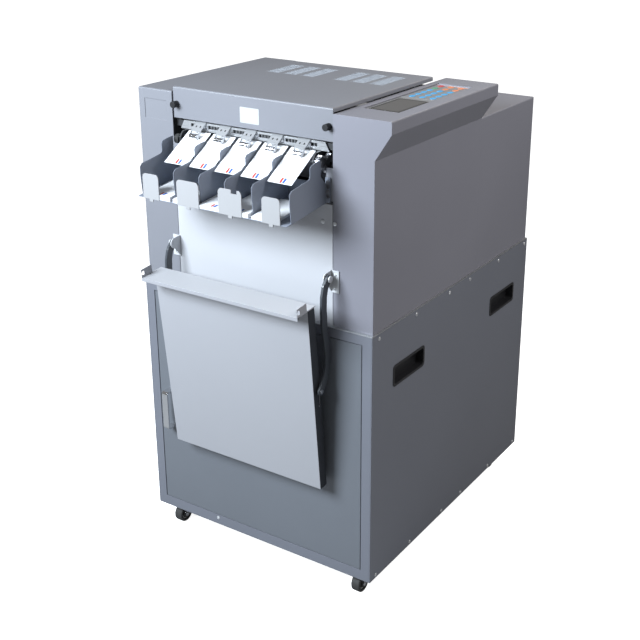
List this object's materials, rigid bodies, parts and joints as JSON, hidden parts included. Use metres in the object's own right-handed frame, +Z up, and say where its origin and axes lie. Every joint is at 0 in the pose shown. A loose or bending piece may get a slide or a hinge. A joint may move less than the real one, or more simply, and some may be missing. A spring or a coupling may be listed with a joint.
{
  "type": "business card cutter",
  "caption": "Floor-standing business card cutter on a wheeled cabinet, with card lanes, a lift-up lid, control panel and swing-up tray.",
  "frame": {"origin": "middle of the bounding box footprint, at floor level under the casters", "axes": "+X to the operator's right seen from the front, +Y from the card exit to the rear, +Z up"},
  "size_m": [0.5912, 0.809, 1.005],
  "materials": {
    "grey_side_paint": "fine textured powder coat",
    "blue_grey_paint": "fine textured powder coat",
    "pale_paint": "fine textured powder coat",
    "dark_tray_paint": "satin powder coat",
    "dark_arm_paint": "satin paint",
    "chrome_trim": "polished",
    "bright_steel": "brushed",
    "zinc_steel": "zinc plated",
    "tool_steel": "ground",
    "brass_bush": "turned",
    "black_plastic": "matt moulded",
    "motor_black": "satin",
    "black_rubber": "matt",
    "wheel_rubber": "matt",
    "bin_plastic": "moulded",
    "keypad_film": "satin film",
    "display_glass": "tinted",
    "printed_card": "smooth coated card",
    "board_laminate": "solder resist"
  },
  "bodies": {
    "root": {"cabinet_base": "grey_side_paint", "cabinet_shell": "grey_side_paint", "cabinet_frame": "blue_grey_paint", "cabinet_deck": "grey_side_paint", "side_pulls": "black_plastic", "waste_bin": "bin_plastic", "caster_plates": "zinc_steel", "left_cover": "blue_grey_paint", "right_cover": "blue_grey_paint", "rear_cover": "grey_side_paint", "front_panel": "pale_paint", "mains_inlet": "black_plastic", "keypad": "keypad_film", "display_window": "display_glass", "lid_bridge": "zinc_steel", "side_frames": "zinc_steel", "shaft_bushes": "brass_bush", "drive_motors": "motor_black", "blade_bed": "tool_steel", "nip_brackets": "bright_steel", "guide_bar": "bright_steel", "sample_cards": "printed_card", "tray_rails": "pale_paint", "arm_brackets": "pale_paint", "feed_table": "zinc_steel", "control_board": "board_laminate", "panel_screws": "bright_steel"},
    "door": {"cabinet_door": "blue_grey_paint", "door_handle": "chrome_trim"},
    "lid": {"lid": "blue_grey_paint", "lid_vents": "pale_paint"},
    "thumbscrew_left": {"thumbscrew_left": "black_plastic"},
    "thumbscrew_right": {"thumbscrew_right": "black_plastic"},
    "lower_cutter": {"lower_cutter": "tool_steel"},
    "upper_cutter": {"upper_cutter": "tool_steel"},
    "idler_gear": {"idler_gear": "tool_steel"},
    "exit_roller": {"exit_shaft": "tool_steel", "exit_tyres": "black_rubber"},
    "nip_rollers": {"nip_rollers": "chrome_trim"},
    "motor_pinion": {"motor_pinion": "tool_steel"},
    "feed_roller": {"feed_roller": "black_rubber"},
    "pinch_roller": {"pinch_roller": "tool_steel"},
    "crosscut_blade": {"crosscut_blade": "tool_steel"},
    "catch_tray": {"catch_tray": "dark_tray_paint", "card_stops": "pale_paint", "card_stacks": "printed_card"},
    "arm_right": {"arm_right": "dark_arm_paint"},
    "arm_left": {"arm_left": "dark_arm_paint"},
    "tray_pins": {"tray_pins": "tool_steel"},
    "receiving_tray": {"receiving_tray": "pale_paint"},
    "guide_right": {"guide_right": "bright_steel"},
    "guide_left": {"guide_left": "bright_steel"},
    "fork_front_left": {"caster_fork_front_left": "chrome_trim"},
    "wheel_front_left": {"caster_wheel_front_left": "wheel_rubber"},
    "fork_front_right": {"caster_fork_front_right": "chrome_trim"},
    "wheel_front_right": {"caster_wheel_front_right": "wheel_rubber"},
    "fork_rear_left": {"caster_fork_rear_left": "chrome_trim"},
    "wheel_rear_left": {"caster_wheel_rear_left": "wheel_rubber"},
    "fork_rear_right": {"caster_fork_rear_right": "chrome_trim"},
    "wheel_rear_right": {"caster_wheel_rear_right": "wheel_rubber"}
  },
  "joints": [
    {"name": "arm_swing", "type": "hinge", "parent": "root", "child": "arm_right", "pos_m": [0.175, -0.298, 0.69], "axis": [-1, 0, 0], "range_deg": [0, 90]},
    {"name": "arm_left_swing", "type": "hinge", "parent": "root", "child": "arm_left", "pos_m": [-0.203, -0.298, 0.69], "axis": [-1, 0, 0], "range_deg": [0, 90]},
    {"name": "tray_tilt", "type": "hinge", "parent": "arm_right", "child": "tray_pins", "pos_m": [0.175, -0.3267, 0.471], "axis": [-1, 0, 0], "range_deg": [-2.5, 4.5]},
    {"name": "tray_slide", "type": "slide", "parent": "tray_pins", "child": "receiving_tray", "axis": [0, -0.0976, 0.9952], "range_m": [0, 0.03]},
    {"name": "door_hinge", "type": "hinge", "parent": "root", "child": "door", "pos_m": [0.2394, -0.2849, 0.321], "axis": [0, 0, 1], "range_deg": [0, 27]},
    {"name": "lid_hinge", "type": "hinge", "parent": "root", "child": "lid", "pos_m": [-0.014, 0.094, 0.998], "axis": [-1, 0, 0], "range_deg": [0, 100]},
    {"name": "thumbscrew_left_turn", "type": "hinge", "parent": "lid", "child": "thumbscrew_left", "pos_m": [-0.192, -0.277, 0.9715], "axis": [0, 1, 0], "continuous": true},
    {"name": "thumbscrew_right_turn", "type": "hinge", "parent": "lid", "child": "thumbscrew_right", "pos_m": [0.164, -0.277, 0.9715], "axis": [0, 1, 0], "continuous": true},
    {"name": "catch_tray_lift", "type": "slide", "parent": "root", "child": "catch_tray", "axis": [0, 0, 1], "range_m": [0, 0.008]},
    {"name": "cutter_turn", "type": "hinge", "parent": "root", "child": "lower_cutter", "pos_m": [-0.014, -0.218, 0.8952], "axis": [1, 0, 0], "continuous": true},
    {"name": "upper_cutter_turn", "type": "hinge", "parent": "root", "child": "upper_cutter", "pos_m": [-0.014, -0.218, 0.9372], "axis": [1, 0, 0], "continuous": true},
    {"name": "idler_turn", "type": "hinge", "parent": "root", "child": "idler_gear", "pos_m": [-0.014, -0.25989, 0.89817], "axis": [1, 0, 0], "continuous": true},
    {"name": "exit_turn", "type": "hinge", "parent": "root", "child": "exit_roller", "pos_m": [-0.014, -0.2888, 0.9062], "axis": [1, 0, 0], "continuous": true},
    {"name": "nip_turn", "type": "hinge", "parent": "root", "child": "nip_rollers", "pos_m": [-0.014, -0.2961, 0.91803], "axis": [1, 0, 0], "continuous": true},
    {"name": "pinion_turn", "type": "hinge", "parent": "root", "child": "motor_pinion", "pos_m": [-0.014, -0.20671, 0.86419], "axis": [1, 0, 0], "continuous": true},
    {"name": "feed_turn", "type": "hinge", "parent": "root", "child": "feed_roller", "pos_m": [-0.014, 0.042, 0.9002], "axis": [1, 0, 0], "continuous": true},
    {"name": "pinch_turn", "type": "hinge", "parent": "root", "child": "pinch_roller", "pos_m": [-0.014, 0.042, 0.9266], "axis": [1, 0, 0], "continuous": true},
    {"name": "blade_stroke", "type": "slide", "parent": "root", "child": "crosscut_blade", "axis": [0, 0, -1], "range_m": [0, 0.012]},
    {"name": "guide_slide", "type": "slide", "parent": "root", "child": "guide_right", "axis": [-1, 0, 0], "range_m": [0, 0.055]},
    {"name": "guide_left_slide", "type": "slide", "parent": "root", "child": "guide_left", "axis": [1, 0, 0], "range_m": [0, 0.055]},
    {"name": "swivel_front_left", "type": "hinge", "parent": "root", "child": "fork_front_left", "pos_m": [-0.252, -0.24, 0.042], "axis": [0, 0, 1], "continuous": true},
    {"name": "roll_front_left", "type": "hinge", "parent": "fork_front_left", "child": "wheel_front_left", "pos_m": [-0.252, -0.258, 0.02], "axis": [1, 0, 0], "continuous": true},
    {"name": "swivel_front_right", "type": "hinge", "parent": "root", "child": "fork_front_right", "pos_m": [0.224, -0.24, 0.042], "axis": [0, 0, 1], "continuous": true},
    {"name": "roll_front_right", "type": "hinge", "parent": "fork_front_right", "child": "wheel_front_right", "pos_m": [0.224, -0.258, 0.02], "axis": [1, 0, 0], "continuous": true},
    {"name": "swivel_rear_left", "type": "hinge", "parent": "root", "child": "fork_rear_left", "pos_m": [-0.252, 0.354, 0.042], "axis": [0, 0, 1], "continuous": true},
    {"name": "roll_rear_left", "type": "hinge", "parent": "fork_rear_left", "child": "wheel_rear_left", "pos_m": [-0.252, 0.336, 0.02], "axis": [1, 0, 0], "continuous": true},
    {"name": "swivel_rear_right", "type": "hinge", "parent": "root", "child": "fork_rear_right", "pos_m": [0.224, 0.354, 0.042], "axis": [0, 0, 1], "continuous": true},
    {"name": "roll_rear_right", "type": "hinge", "parent": "fork_rear_right", "child": "wheel_rear_right", "pos_m": [0.224, 0.336, 0.02], "axis": [1, 0, 0], "continuous": true}
  ],
  "couplings": [
    {"joint": "arm_left_swing", "follows": "arm_swing", "ratio": 1},
    {"joint": "door_hinge", "follows": "arm_swing", "ratio": 0.3},
    {"joint": "upper_cutter_turn", "follows": "cutter_turn", "ratio": -1},
    {"joint": "idler_turn", "follows": "cutter_turn", "ratio": -1.3333},
    {"joint": "exit_turn", "follows": "cutter_turn", "ratio": 2},
    {"joint": "nip_turn", "follows": "cutter_turn", "ratio": -2.9091},
    {"joint": "pinion_turn", "follows": "cutter_turn", "ratio": -2.6667},
    {"joint": "pinch_turn", "follows": "feed_turn", "ratio": -1.6},
    {"joint": "guide_left_slide", "follows": "guide_slide", "ratio": 1}
  ]
}
